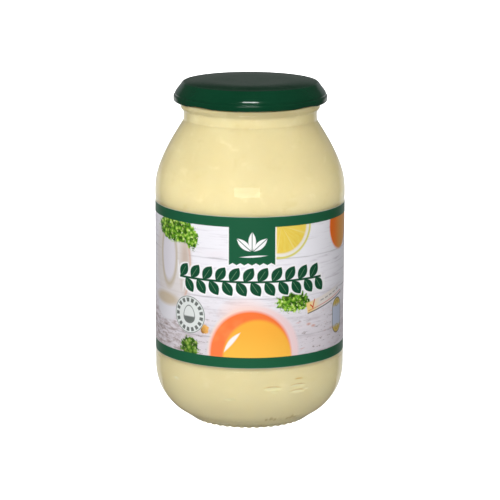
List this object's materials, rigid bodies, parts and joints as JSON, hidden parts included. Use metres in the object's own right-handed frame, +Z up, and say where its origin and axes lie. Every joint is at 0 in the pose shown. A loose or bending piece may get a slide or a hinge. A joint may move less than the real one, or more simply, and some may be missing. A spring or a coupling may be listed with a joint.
{
  "type": "mayonnaise jar",
  "caption": "Squat round glass jar filled with mayonnaise, with a rounded heel and shoulder, a twist-off metal lid and a wrap-round paper label.",
  "frame": {"origin": "centre of the foot ring, on the surface that the jar stands on", "axes": "+Z up along the jar's axis, -Y towards the front of the label, +X to the right as seen from the front"},
  "size_m": [0.0806, 0.0806, 0.145],
  "materials": {
    "jar_glass": "clear, glossy",
    "mayonnaise": "smooth, moist, satin",
    "lid_enamel": "glossy enamel",
    "label_paper": "coated, semi-gloss"
  },
  "bodies": {
    "root": {"jar": "jar_glass", "mayonnaise": "mayonnaise", "lid": "lid_enamel", "label": "label_paper"}
  },
  "joints": []
}
